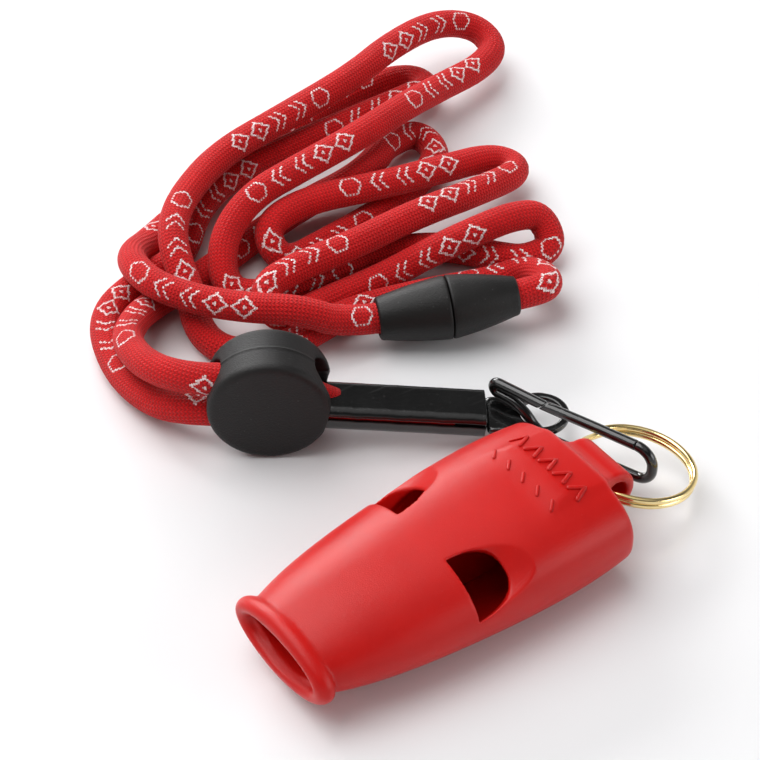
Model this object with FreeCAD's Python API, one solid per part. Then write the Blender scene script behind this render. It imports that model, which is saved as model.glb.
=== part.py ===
"""Training whistle on a neck lanyard: whistle, split ring, snap hook, crimp ferrule, cord slider,
two woven cords and a breakaway clasp. Millimetres. The whistle rests on its belly at z = 0 with its
mouth toward -X and its lug toward +X; the lanyard lies coiled behind it."""

import FreeCAD, Part

import math
import os

V = FreeCAD.Vector

# whistle
BODY_MID_Z = 6.5
MOUTH_X = -24.6
REAR_X = 21.0
WALL = 1.5
LIP_LENGTH = 2.2
OUTLINE = [  # distance along the body, half width, half height
    (-22.4, 7.9, 4.4),
    (-17.0, 9.5, 5.6),
    (-9.0, 11.0, 6.6),
    (0.0, 11.8, 7.0),
    (9.0, 12.1, 7.0),
    (17.0, 12.1, 6.8),
    (REAR_X, 11.6, 6.1),
]
LIP_HALF_WIDTH = 9.2
LIP_HALF_HEIGHT = 4.7
MOUTH_HALF_WIDTH = 6.9
MOUTH_HALF_HEIGHT = 2.5
WINDOW_FRONT_X = -3.2
WINDOW_LENGTH = 4.8
WINDOW_Y = 8.0
WINDOW_WIDTH = 7.2
RAMP_LENGTH = 2.8
DIVIDER = 1.6
CORE_CLEAR = 0.03
BLOCK_END_X = -3.4
LUG_HALF_WIDTH = 4.2
LUG_END_X = 27.4
HOLE_X = 24.1
HOLE_R = 2.0
MOTIF_HEIGHT = 0.3
MOTIF_PITCH = 2.75

# split ring
RING_WIRE = 0.85
RING_R = 7.5
RING_TILT = 12.0

# snap hook: a wire loop standing in one upright plane
HOOK_WIRE = 1.4
HOOK_START = V(25.2, 21.3, 0.0)
HOOK_TURN = -75.0
HOOK_NARROW_R = 0.85
HOOK_BOW_X = 22.3
HOOK_BOW_R = 2.5
GATE_FREE_X = 7.6

# ferrule and its eyelet tab
LEAD_TURN = -35.0
FERRULE_LENGTH = 21.1
FERRULE_WIDTH = 6.6
FERRULE_HEIGHT = 3.6
FERRULE_WALL = 0.55
FERRULE_MOUTH_Z = 5.78
FERRULE_DROP = 6.0
TAB_R = 3.8
TAB_HOLE_R = 2.7
TAB_THICK = 0.9
TAB_LOW_Z = 2.6
TAB_REACH = 7.4
TAB_HALF_WIDTH = 3.2

# slider
SLIDER_R = 8.0
SLIDER_THICK = 8.0
SLIDER_AT = V(-0.5, 35.6, SLIDER_R)
BORE_R = 2.3
BORE_PITCH = 5.4
RECESS_R = 3.5
MOUTH_GAP = 6.9

# clasp
CLASP_AT = V(21.6, 41.8, 4.6)
CLASP_END = V(39.0, 33.4, 5.6)
SOCKET_LENGTH = 9.7
CLASP_MOUTH_R = 2.95
CLASP_SEAM_R = 4.4
CLASP_TAIL_R = 2.65
CLASP_GAP = 0.15
PIN_R = 1.5
PIN_LENGTH = 6.0

# cords
CORD_R = 2.1
CORD_SOCKET = 4.0

# Routes chosen by hand. The lower cord runs from inside the clasp socket to the ferrule, the upper
# cord from the ferrule to inside the clasp plug.
CORD_LOWER = [
    (25.2, 40.1, 4.8), (17.5, 43.8, 4.4), (12.5, 46.7, 7.6), (7.5, 51.2, 7.4), (3.2, 56.5, 7.2),
    (0, 62.5, 7.2), (-0.3, 67.5, 7), (1.8, 72.5, 5.1), (7.5, 76.5, 2.1), (18, 80.5, 2.1),
    (30, 84.6, 2.1), (42, 87, 2.1), (51, 88, 2.1), (60.4, 86.2, 2.1), (60.8, 80.6, 2.9),
    (54.5, 79.6, 4), (46, 79.5, 4.4), (36, 79.8, 4.4), (24, 80, 4.3), (15, 76.2, 4.2), (9.5, 71, 2.1),
    (2, 70.3, 2.1), (-6.8, 67.2, 2.1), (-10.8, 57, 2.1), (-11, 47.5, 3.2), (-8.3, 41.1, 5.3),
    (-2.5, 36.9, 5.2), (3.2, 33, 5.3), (6.2, 30.2, 5.1),
]
CORD_UPPER = [
    (6.9, 31.2, 6.5), (4.9, 32.2, 8), (2.3, 33.6, 10.7), (-2.5, 36.9, 10.8), (-8.3, 41.1, 10.7),
    (-11, 47.5, 9.4), (-9.5, 56, 6.8), (-5, 61.2, 4.7), (0.5, 65, 2.1), (9, 65.8, 2.1), (20, 68.5, 2.1),
    (29, 69, 3.4), (36, 68, 4.6), (42, 69.8, 4.4), (46, 72.6, 3.8), (52.6, 73.4, 2.8),
    (52.4, 67.6, 2.1), (46, 64.4, 2.1), (38, 62.2, 2.1), (28, 61.5, 2.1), (19.6, 61, 2.1),
    (19.4, 65.8, 5.6), (27, 66.4, 6.6), (38, 62.8, 6.4), (48, 62.2, 4.8), (57.4, 61.2, 3.6),
    (58.6, 55.8, 3.6), (49, 54.8, 5), (38, 54.8, 6.3), (26, 54.6, 6.4), (18, 55.4, 6.4),
    (11.6, 55, 6.2), (11.8, 51, 2.4), (20, 51.2, 2.1), (29, 50.2, 2.4), (37, 48.6, 4.6),
    (44.5, 46.2, 6.5), (51, 44.6, 6.9), (55.5, 43.2, 5.6), (54.6, 39.4, 2.5), (49.8, 40.4, 2.1),
    (45.2, 43.8, 2.1), (40, 51, 2.1), (33, 54.8, 2.1), (22, 55.6, 2.1), (14, 57, 2.1),
    (9.8, 61, 2.4), (12.8, 66.4, 6.2), (20, 69.6, 8.6), (29, 69.6, 9.6), (40, 70.6, 9.6),
    (50, 73.5, 8.4), (60, 76.8, 5.8), (68.5, 78.4, 4.6), (73.6, 81, 4.6), (73.4, 86, 6), (67.4, 88.2, 7.8), (58, 86.8, 8.5),
    (48, 83.4, 8.8), (34, 81.4, 8.8), (22, 80, 8.7), (12.5, 75.3, 8.5), (7.8, 71, 8.1),
    (5.6, 66.5, 6.5), (4.8, 62, 3.8), (2.5, 57, 2.1), (2.6, 51.5, 2.1), (6.5, 47.6, 2.1), (13, 47, 2.1),
    (21, 47.8, 2.1), (32, 44.4, 2.1), (40.6, 40.8, 2.1), (46.8, 39.4, 3.4), (47, 33.6, 5),
    (42.2, 31.85, 5.8), (35.5, 35.09, 5.4),
]


def place(shape, at, turn_z=0.0, tilt_y=0.0):
    """Tilts a shape about Y, turns it about Z and moves it to a point."""
    moved = shape.copy()
    moved.rotate(V(0, 0, 0), V(0, 1, 0), tilt_y)
    moved.rotate(V(0, 0, 0), V(0, 0, 1), turn_z)
    moved.translate(at)
    return moved


def box(x0, x1, y0, y1, z0, z1):
    return Part.makeBox(x1 - x0, y1 - y0, z1 - z0, V(x0, y0, z0))


def heading(turn):
    return V(math.cos(math.radians(turn)), math.sin(math.radians(turn)), 0)


def ellipse_wire(x, half_width, half_height, z=BODY_MID_Z):
    """An ellipse across the body, wider than high."""
    curve = Part.Ellipse(V(x, half_width, z), V(x, 0, z + half_height), V(x, 0, z))
    return Part.Wire([curve.toShape()])


def body_loft(grow):
    """The body's swelling outline, grown or shrunk all round."""
    wires = []
    for x, half_width, half_height in OUTLINE:
        wires.append(ellipse_wire(x, half_width + grow, half_height + grow))
    return Part.makeLoft(wires, True, False)


def trimmed(shape, x0, x1):
    return shape.common(box(x0, x1, -30, 30, -30, 50))


def inner_space(clear=0.0):
    """The hollow inside the shells, less a clearance."""
    return trimmed(body_loft(-WALL - clear), MOUTH_X + 4.1 + clear, REAR_X - WALL - clear)


def mouth_cutter():
    """A lens-shaped opening through the lip."""
    left = V(MOUTH_X - 1, MOUTH_HALF_WIDTH, BODY_MID_Z)
    right = V(MOUTH_X - 1, -MOUTH_HALF_WIDTH, BODY_MID_Z)
    top = V(MOUTH_X - 1, 0, BODY_MID_Z + MOUTH_HALF_HEIGHT)
    low = V(MOUTH_X - 1, 0, BODY_MID_Z - MOUTH_HALF_HEIGHT)
    edges = [Part.Arc(left, top, right).toShape(), Part.Arc(right, low, left).toShape()]
    return Part.Face(Part.Wire(edges)).extrude(V(5.2, 0, 0))


def lip():
    rim = Part.Face(ellipse_wire(MOUTH_X, LIP_HALF_WIDTH, LIP_HALF_HEIGHT)).extrude(V(LIP_LENGTH, 0, 0))
    return rim.makeFillet(0.9, rim.Edges)


def lug():
    """The tail lug, rounded about the axis of its ring hole."""
    radius = LUG_END_X - HOLE_X
    width = 2 * LUG_HALF_WIDTH
    low = BODY_MID_Z - radius
    block = box(REAR_X - 3, HOLE_X, -LUG_HALF_WIDTH, LUG_HALF_WIDTH, low, BODY_MID_Z + radius)
    nose = Part.makeCylinder(radius, width, V(HOLE_X, -LUG_HALF_WIDTH, BODY_MID_Z), V(0, 1, 0))
    hole = Part.makeCylinder(HOLE_R, width + 2, V(HOLE_X, -LUG_HALF_WIDTH - 1, BODY_MID_Z), V(0, 1, 0))
    return block.fuse(nose), hole


def window_cutter(side):
    """A sharp front edge, a round-backed hole and a ramp that runs out behind it."""
    half = WINDOW_WIDTH / 2
    front = box(0, 30, -half, half, -1, 30)
    hole = Part.makeCylinder(half, 9, V(WINDOW_LENGTH - half, 0, -5))
    hole = hole.common(box(0, 30, -half, half, -6, 30))
    hole = hole.fuse(box(0, WINDOW_LENGTH - half + 0.01, -half, half, -5, 4))
    reach = WINDOW_LENGTH + RAMP_LENGTH
    wide = half + 0.5
    scoop = Part.makeCylinder(wide, 5, V(reach - wide, 0, -1.5)).common(box(0, 30, -9, 9, -6, 30))
    scoop = scoop.fuse(box(0.6, reach - wide, -wide, wide, -1.5, 3.5))
    ramp = [V(0, 0, -1.5), V(WINDOW_LENGTH - 0.4, 0, -1.1), V(reach + 0.3, 0, 0.35)]
    ramp += [V(reach + 3, 0, -3), V(0, 0, -3)]
    floor = Part.Face(Part.makePolygon(ramp + ramp[:1])).extrude(V(0, 20, 0))
    floor.translate(V(0, -10, 0))
    cutter = hole.fuse(scoop.cut(floor).common(front))
    cutter.rotate(V(0, 0, 0), V(1, 0, 0), -33.0 * side)
    cutter.translate(V(WINDOW_FRONT_X, side * WINDOW_Y, BODY_MID_Z + 4.6))
    return cutter


def motif():
    """Raised marks across the back of the top shell: five arrowheads over five short bars."""
    raised = trimmed(body_loft(MOTIF_HEIGHT), 0, REAR_X - 1)
    marks = []
    for step in range(-2, 3):
        y = MOTIF_PITCH * step
        arrow = [(15.3, y - 1.2), (18.0, y), (15.3, y + 1.2), (15.3, y + 0.65), (16.7, y), (15.3, y - 0.65)]
        bar = [(11.4, y - 0.65), (11.7, y - 0.95), (13.1, y + 0.45), (12.8, y + 0.75)]
        for outline in (arrow, bar):
            corners = [V(px, py, 8) for px, py in outline]
            marks.append(Part.Face(Part.makePolygon(corners + corners[:1])).extrude(V(0, 0, 10)))
    return raised.common(marks[0].fuse(marks[1:]))


def whistle():
    """The two shells and the core that splits the air between the side chambers."""
    space = inner_space()
    tail, hole = lug()
    body = trimmed(body_loft(0.0), -23, REAR_X).fuse([lip(), tail, motif()])
    body = body.common(box(-40, 40, -30, 30, 0, 40))
    body = body.cut(space.fuse(mouth_cutter()))
    body = body.cut(hole)
    for side in (1, -1):
        body = body.cut(window_cutter(side))
    top = body.common(box(-40, 40, -30, 30, BODY_MID_Z, 40))
    bottom = body.common(box(-40, 40, -30, 30, -1, BODY_MID_Z))

    room = inner_space(CORE_CLEAR)
    divider = room.common(box(-40, 40, -DIVIDER / 2, DIVIDER / 2, -30, 30))
    block = room.common(box(-40, BLOCK_END_X, -30, 30, -30, 30))
    for side in (1, -1):
        duct = [V(-21, 0, 5.2), V(-21, 0, 7.9), V(BLOCK_END_X + 1, 0, 10.7), V(BLOCK_END_X + 1, 0, 9.3)]
        slot = Part.Face(Part.makePolygon(duct + duct[:1])).extrude(V(0, side * 6.3, 0))
        slot.translate(V(0, side * 0.9, 0))
        block = block.cut(slot)
    return top, bottom, divider.fuse(block)


def split_ring():
    """Two close turns of wire, level with the lug hole on the whistle's side."""
    coils = []
    for side in (-1, 1):
        coil = Part.makeTorus(RING_R, RING_WIRE / 2, V(0, 0, side * RING_WIRE * 0.47))
        coils.append(coil)
    ring = coils[0].fuse(coils[1])
    centre = V(RING_R, 0, 0)
    ring.translate(centre)
    ring.rotate(V(0, 0, 0), V(0, 1, 0), RING_TILT)
    ring.translate(V(HOLE_X - 0.7, -0.6, BODY_MID_Z))
    return ring


def rounded_path(points, share=0.45):
    """Straight runs with a tangent arc at every corner; also returns the arcs' radii."""
    points = [V(*p) for p in points]
    edges = []
    radii = []
    here = points[0]
    for i in range(1, len(points) - 1):
        back = points[i - 1] - points[i]
        ahead = points[i + 1] - points[i]
        cut = share * min(back.Length, ahead.Length)
        turn = math.pi - back.getAngle(ahead)
        radius = cut / math.tan(turn / 2)
        back.normalize()
        ahead.normalize()
        start = points[i] + back * cut
        end = points[i] + ahead * cut
        middle = back + ahead
        middle.normalize()
        reach = math.hypot(radius, cut) - radius
        edges.append(Part.LineSegment(here, start).toShape())
        edges.append(Part.Arc(start, points[i] + middle * reach, end).toShape())
        radii.append(radius)
        here = end
    edges.append(Part.LineSegment(here, points[-1]).toShape())
    return Part.Wire(edges), radii


def swept(points, radius, share=0.45):
    """A round rod along the rounded path."""
    path, radii = rounded_path(points, share)
    start = V(*points[0])
    direction = V(*points[1]) - start
    section = Part.Wire([Part.makeCircle(radius, start, direction)])
    rod = path.makePipeShell([section], True, True)
    return rod, path.Length, radii


def stand_hook(shape):
    """Stands a shape drawn in the X-Z plane up in the hook's own plane."""
    return place(shape, HOOK_START, HOOK_TURN)


def hook():
    """The bent wire frame and the sprung leg that closes it."""
    wire = HOOK_WIRE / 2
    mid = 5.6
    top = mid + HOOK_BOW_R
    low = mid - HOOK_BOW_R
    bow = HOOK_BOW_X
    far = bow + HOOK_BOW_R
    narrow_low = mid - HOOK_NARROW_R
    narrow_top = mid + HOOK_NARROW_R
    route = [(bow, 0, top), (far, 0, top), (far, 0, low), (12.0, 0, 1.7), (7.6, 0, 1.3)]
    route += [(4.4, 0, narrow_low), (0, 0, narrow_low), (0, 0, narrow_top), (GATE_FREE_X + 1, 0, 6.7)]
    frame = swept(route, wire, 0.49)[0]
    gate = swept([(GATE_FREE_X - 1.4, 0, 6.6), (bow - 7, 0, 7.5), (bow - 0.15, 0, top)], wire)[0]
    slant = [V(GATE_FREE_X - 1.4, 0, 5.2), V(GATE_FREE_X + 1.4, 0, 8.2), V(40, 0, 8.2), V(40, 0, 5.2)]
    half = Part.Face(Part.makePolygon(slant + slant[:1])).extrude(V(0, 4, 0))
    half.translate(V(0, -2, 0))
    tongue_side = half.common(box(0, 14, -3, 3, 5.0, 9))
    frame = frame.cut(tongue_side)
    kept = half.copy()
    kept.translate(V(0.25, 0, 0))
    return stand_hook(frame), stand_hook(gate.common(kept))


def rounded_bar(x0, x1, width, height, corner):
    bar = box(x0, x1, -width / 2, width / 2, -height / 2, height / 2)
    long_edges = [e for e in bar.Edges if abs(e.Length - (x1 - x0)) < 1e-6]
    return bar.makeFillet(corner, long_edges)


def ferrule_place(shape):
    at = SLIDER_AT + heading(LEAD_TURN) * MOUTH_GAP
    at.z = FERRULE_MOUTH_Z
    return place(shape, at, LEAD_TURN, FERRULE_DROP)


def tab_centre():
    along = MOUTH_GAP + FERRULE_LENGTH * math.cos(math.radians(FERRULE_DROP)) + TAB_REACH
    return SLIDER_AT + heading(LEAD_TURN) * along


def ferrule():
    """The rolled sleeve, the squeezed cord ends inside it and the eyelet tab at its far end."""
    width = FERRULE_WIDTH
    height = FERRULE_HEIGHT
    core_width = width - 2 * FERRULE_WALL
    core_height = height - 2 * FERRULE_WALL
    shank = 4.0
    sleeve = rounded_bar(0, FERRULE_LENGTH, width, height, 1.3)
    sleeve = sleeve.cut(rounded_bar(-1, FERRULE_LENGTH + 1, core_width, core_height, 0.9))
    sleeve = sleeve.cut(box(-1, FERRULE_LENGTH + 1, -width, -width / 2 + 1, 0.5, 0.75))
    ends = rounded_bar(0.0, FERRULE_LENGTH - shank - 0.1, core_width - 0.06, core_height - 0.06, 0.85)

    shank_start = FERRULE_LENGTH - shank
    root = rounded_bar(shank_start, FERRULE_LENGTH + 0.2, core_width - 0.06, core_height - 0.06, 0.85)
    root = ferrule_place(root)
    centre = tab_centre()
    plate = Part.makeCylinder(TAB_R, TAB_THICK, V(0, 0, 0))
    neck = box(-TAB_REACH + 0.1, 0, -TAB_HALF_WIDTH, TAB_HALF_WIDTH, 0, TAB_THICK)
    plate = plate.fuse(neck)
    plate = plate.cut(Part.makeCylinder(TAB_HOLE_R, 9, V(0, 0, -2)))
    plate = place(plate, V(centre.x, centre.y, TAB_LOW_Z), LEAD_TURN)
    return ferrule_place(sleeve), ferrule_place(ends), plate.fuse(root)


def slider():
    """A thick disc on its rim with two cord bores that join in a slot on the ferrule's side."""
    half = SLIDER_THICK / 2
    disc = Part.makeCylinder(SLIDER_R, SLIDER_THICK, V(0, -half, 0), V(0, 1, 0))
    rims = [e for e in disc.Edges if len(e.Vertexes) == 1]
    disc = disc.makeFillet(0.7, rims)
    for z in (-BORE_PITCH / 2, BORE_PITCH / 2):
        disc = disc.cut(Part.makeCylinder(BORE_R, 30, V(-15, 0, z), V(1, 0, 0)))
    slot_low = -BORE_PITCH / 2
    disc = disc.cut(box(1.5, 12, -BORE_R, BORE_R, slot_low, BORE_PITCH / 2))
    for z in (slot_low + 0.5, slot_low + 1.5):
        disc = disc.cut(Part.makeCylinder(RECESS_R, 12, V(5.6, 0, z), V(1, 0, 0)))
    return place(disc, SLIDER_AT, LEAD_TURN)


def clasp():
    """The breakaway clasp: a tapered socket and a plug with a snap pin."""
    axis = CLASP_END - CLASP_AT
    length = axis.Length
    seam = SOCKET_LENGTH
    z = V(0, 0, 1)
    socket = Part.makeCone(CLASP_MOUTH_R, CLASP_SEAM_R, seam, V(0, 0, 0), z)
    socket = socket.cut(Part.makeCylinder(CORD_R + 0.05, CORD_SOCKET, V(0, 0, 0), z))
    socket = socket.cut(Part.makeCylinder(PIN_R + 0.15, PIN_LENGTH, V(0, 0, seam - PIN_LENGTH + 0.6), z))
    tail = length - seam - CLASP_GAP
    plug = Part.makeCone(CLASP_SEAM_R, CLASP_TAIL_R, tail, V(0, 0, seam + CLASP_GAP), z)
    plug = plug.cut(Part.makeCylinder(CORD_R + 0.12, CORD_SOCKET, V(0, 0, length - CORD_SOCKET), z))
    pin = Part.makeCylinder(PIN_R, PIN_LENGTH - 0.8 + CLASP_GAP, V(0, 0, seam - PIN_LENGTH + 0.9), z)
    plug = plug.fuse(pin)
    turn = FreeCAD.Rotation(z, axis)
    placed = []
    for half in (socket, plug):
        half.Placement = FreeCAD.Placement(CLASP_AT, turn)
        placed.append(half)
    return placed


def cord(name, points):
    """A cord's solid, with its measured length, tightest bend and a check of its volume."""
    rod, length, radii = swept(points, CORD_R)
    expected = math.pi * CORD_R**2 * length
    ratio = rod.Volume / expected
    print(f"{name}: {length:.1f} mm, tightest bend {min(radii):.2f} mm, volume ratio {ratio:.3f}")
    return rod


def main():
    os.makedirs("parts", exist_ok=True)
    parts = {}
    parts["whistle_top_shell"], parts["whistle_bottom_shell"], parts["whistle_core"] = whistle()
    parts["split_ring"] = split_ring()
    parts["hook_frame"], parts["hook_gate"] = hook()
    parts["ferrule"], parts["crimped_cord_ends"], parts["eyelet_tab"] = ferrule()
    parts["cord_slider"] = slider()
    parts["clasp_socket"], parts["clasp_plug"] = clasp()
    parts["cord_lower"] = cord("cord_lower", CORD_LOWER)
    parts["cord_upper"] = cord("cord_upper", CORD_UPPER)
    for name, shape in parts.items():
        if not shape.isValid():
            print(f"{name} is not valid")
        if len(shape.Solids) != 1:
            print(f"{name} has {len(shape.Solids)} solids")
        shape.exportStep(f"parts/{name}.step")


main()
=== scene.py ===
import math

import bmesh
import bpy
import numpy as np
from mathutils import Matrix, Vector


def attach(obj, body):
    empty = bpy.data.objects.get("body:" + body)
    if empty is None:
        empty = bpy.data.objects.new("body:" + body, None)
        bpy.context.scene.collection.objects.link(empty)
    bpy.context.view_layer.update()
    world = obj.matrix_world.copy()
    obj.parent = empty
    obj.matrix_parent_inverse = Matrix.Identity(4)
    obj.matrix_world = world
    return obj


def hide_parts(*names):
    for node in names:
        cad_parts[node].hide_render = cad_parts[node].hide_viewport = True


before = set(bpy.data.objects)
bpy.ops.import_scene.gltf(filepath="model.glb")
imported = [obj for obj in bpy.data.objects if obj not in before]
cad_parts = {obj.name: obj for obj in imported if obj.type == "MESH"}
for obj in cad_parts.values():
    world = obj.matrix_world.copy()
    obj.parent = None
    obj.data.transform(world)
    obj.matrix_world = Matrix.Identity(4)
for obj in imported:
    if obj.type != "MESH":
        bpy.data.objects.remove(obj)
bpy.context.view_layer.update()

MM = 0.001


# ---------------------------------------------------------------- meshes

def mesh_piece(name, points_mm, faces, material, smooth=True):
    """A piece from points in millimetres and its faces."""
    mesh = bpy.data.meshes.new(name)
    mesh.from_pydata(np.asarray(points_mm, float) * MM, [], [tuple(int(i) for i in f) for f in faces])
    mesh.validate()
    mesh.update()
    piece = bpy.data.objects.new(name, mesh)
    bpy.context.scene.collection.objects.link(piece)
    mesh.materials.append(material)
    mesh.polygons.foreach_set("use_smooth", [smooth] * len(mesh.polygons))
    return piece


def settle(piece, body, slot, *nodes):
    """Gives a finished piece its body and hides the nodes that it stands for; the slot is not used."""
    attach(piece, body)
    if nodes:
        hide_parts(*nodes)
    return piece


def soft_or(a, b, blend):
    """Joins two solids with a fillet."""
    share = np.clip(0.5 + 0.5 * (b - a) / blend, 0, 1)
    return b * (1 - share) + a * share - blend * share * (1 - share)


def soft_and(a, b, blend):
    return -soft_or(-a, -b, blend)


def soft_cut(a, b, blend):
    return -soft_or(-a, b, blend)


def ramp(x, start, end):
    t = np.clip((x - start) / (end - start), 0, 1)
    return t * t * (3 - 2 * t)


def oval(a, b, half_a, half_b, power=2.0):
    """Signed distance from an oval, measured along the radius."""
    ratio = ((np.abs(a) / half_a) ** power + (np.abs(b) / half_b) ** power) ** (1 / power)
    ratio = np.maximum(ratio, 1e-4)
    return (1 - 1 / ratio) * np.hypot(a, b)


def skin(solid, low, high, step):
    """Points and quads of the surface on which solid(x, y, z) is zero, inside a box."""
    axes = [np.arange(low[k], high[k] + step, step) for k in range(3)]
    field = solid(*np.meshgrid(*axes, indexing="ij"))
    inside = field < 0
    nx, ny, nz = (s - 1 for s in field.shape)
    corners = [(i, j, k) for i in (0, 1) for j in (0, 1) for k in (0, 1)]
    count = sum(inside[i:i + nx, j:j + ny, k:k + nz].astype(np.int8) for i, j, k in corners)
    active = (count > 0) & (count < 8)
    cells = np.argwhere(active)
    number = np.full(active.shape, -1)
    number[active] = np.arange(len(cells))
    total = np.zeros((len(cells), 3))
    hits = np.zeros(len(cells))
    for axis in range(3):
        unit = np.eye(3, dtype=int)[axis]
        for corner in corners:
            if corner[axis]:
                continue
            start = cells + corner
            a = field[tuple(start.T)]
            b = field[tuple((start + unit).T)]
            cross = (a < 0) != (b < 0)
            share = np.where(cross, a / np.where(a == b, 1, a - b), 0)
            total += np.where(cross[:, None], start + share[:, None] * unit, 0)
            hits += cross
    points = np.array(low) + step * total / hits[:, None]
    faces = []
    for axis in range(3):
        one, two = (axis + 1) % 3, (axis + 2) % 3
        here = [slice(None)] * 3
        here[axis] = slice(None, -1)
        there = list(here)
        there[axis] = slice(1, None)
        edges = np.argwhere(inside[tuple(here)] != inside[tuple(there)])
        edges = edges[(edges[:, one] > 0) & (edges[:, two] > 0)]
        edges = edges[(edges[:, one] < number.shape[one]) & (edges[:, two] < number.shape[two])]
        ring = []
        for d_one, d_two in ((-1, -1), (0, -1), (0, 0), (-1, 0)):
            cell = edges.copy()
            cell[:, one] += d_one
            cell[:, two] += d_two
            ring.append(number[tuple(cell.T)])
        quads = np.stack(ring, 1)
        out = inside[tuple(edges.T)]
        quads[~out] = quads[~out][:, ::-1]
        faces.append(quads)
    nudge = 0.02
    for _ in range(3):
        value = solid(*points.T)
        slope = np.stack([(solid(*(points + nudge * u).T) - solid(*(points - nudge * u).T)) / (2 * nudge)
                          for u in np.eye(3)], 1)
        move = -value[:, None] * slope / np.maximum((slope ** 2).sum(1), 0.05)[:, None]
        length = np.linalg.norm(move, axis=1)
        move *= np.minimum(1, 0.5 * step / np.maximum(length, 1e-9))[:, None]
        points = points + move
    return points, np.concatenate(faces)


def tube(centres, radius, sides, closed=False, flat_ends=True, across=None):
    """Points and quads of a round tube along centres; radius is a number or one for each centre."""
    centres = np.asarray(centres, float)
    n = len(centres)
    if closed:
        ahead = np.roll(centres, -1, 0) - np.roll(centres, 1, 0)
    else:
        ahead = np.gradient(centres, axis=0)
    ahead /= np.linalg.norm(ahead, axis=1)[:, None]
    if across is None:
        across = np.zeros_like(centres)
        side = np.cross(ahead[0], (0, 0, 1.0))
        if np.linalg.norm(side) < 0.1:
            side = np.cross(ahead[0], (0, 1.0, 0))
        for i in range(n):
            side = side - ahead[i] * (side @ ahead[i])
            side = side / np.linalg.norm(side)
            across[i] = side
    over = np.cross(ahead, across)
    turn = np.arange(sides) * 2 * math.pi / sides
    radius = np.broadcast_to(np.asarray(radius, float), (n,))
    rings = (centres[:, None]
             + radius[:, None, None] * (np.cos(turn)[None, :, None] * across[:, None]
                                        + np.sin(turn)[None, :, None] * over[:, None]))
    points = rings.reshape(-1, 3)
    faces = []
    last = n if closed else n - 1
    for i in range(last):
        j = (i + 1) % n
        for k in range(sides):
            m = (k + 1) % sides
            faces.append((i * sides + k, i * sides + m, j * sides + m, j * sides + k))
    if not closed and flat_ends:
        points = np.vstack([points, centres[:1], centres[-1:]])
        for k in range(sides):
            m = (k + 1) % sides
            faces.append((n * sides, m, k))
            faces.append((n * sides + 1, (n - 1) * sides + k, (n - 1) * sides + m))
    return points, faces


def rounded_line(corners, radii, step):
    """Points along straight runs joined by arcs of the given radii."""
    corners = [np.array(c, float) for c in corners]
    line = [corners[0]]
    for i in range(1, len(corners) - 1):
        back = corners[i - 1] - corners[i]
        ahead = corners[i + 1] - corners[i]
        back /= np.linalg.norm(back)
        ahead /= np.linalg.norm(ahead)
        turn = math.pi - math.acos(np.clip(back @ ahead, -1, 1))
        cut = radii[i - 1] * math.tan(turn / 2)
        middle = (back + ahead) / np.linalg.norm(back + ahead)
        centre = corners[i] + middle * math.hypot(radii[i - 1], cut)
        start = corners[i] + back * cut - centre
        end = corners[i] + ahead * cut - centre
        for t in np.linspace(0, 1, max(4, int(radii[i - 1] * turn / step))):
            spoke = math.sin((1 - t) * turn) * start + math.sin(t * turn) * end
            line.append(centre + spoke / math.sin(turn))
    line.append(corners[-1])
    line = np.array(line)
    along = np.r_[0, np.cumsum(np.linalg.norm(np.diff(line, axis=0), axis=1))]
    even = np.linspace(0, along[-1], int(along[-1] / step) + 2)
    return np.stack([np.interp(even, along, line[:, k]) for k in range(3)], 1)


def lathe(profile, segments=96):
    """Points and quads of a closed outline, (along, radius) pairs, turned about the X axis."""
    profile = np.asarray(profile, float)
    n = len(profile)
    turn = np.arange(segments) * 2 * math.pi / segments
    points = np.stack([np.repeat(profile[:, 0], segments),
                       np.outer(profile[:, 1], np.cos(turn)).ravel(),
                       np.outer(profile[:, 1], np.sin(turn)).ravel()], 1)
    faces = []
    for i in range(n):
        j = (i + 1) % n
        for k in range(segments):
            m = (k + 1) % segments
            faces.append((i * segments + k, i * segments + m, j * segments + m, j * segments + k))
    return points, faces


def facing_out(piece):
    """Turns a closed piece's faces outward."""
    work = bmesh.new()
    work.from_mesh(piece.data)
    bmesh.ops.remove_doubles(work, verts=work.verts, dist=1e-7)
    bmesh.ops.recalc_face_normals(work, faces=work.faces)
    work.to_mesh(piece.data)
    work.free()
    return piece


def turned(points, at, heading, drop=0.0):
    """Moves points from a piece's own axes: X along the heading, dropping by an angle, Z up."""
    a, b = math.radians(heading), math.radians(drop)
    along = np.array([math.cos(a) * math.cos(b), math.sin(a) * math.cos(b), -math.sin(b)])
    side = np.array([-math.sin(a), math.cos(a), 0])
    up = np.cross(along, side)
    return np.asarray(points) @ np.stack([along, side, up]) + np.array(at, float)


# ---------------------------------------------------------------- shading

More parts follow.
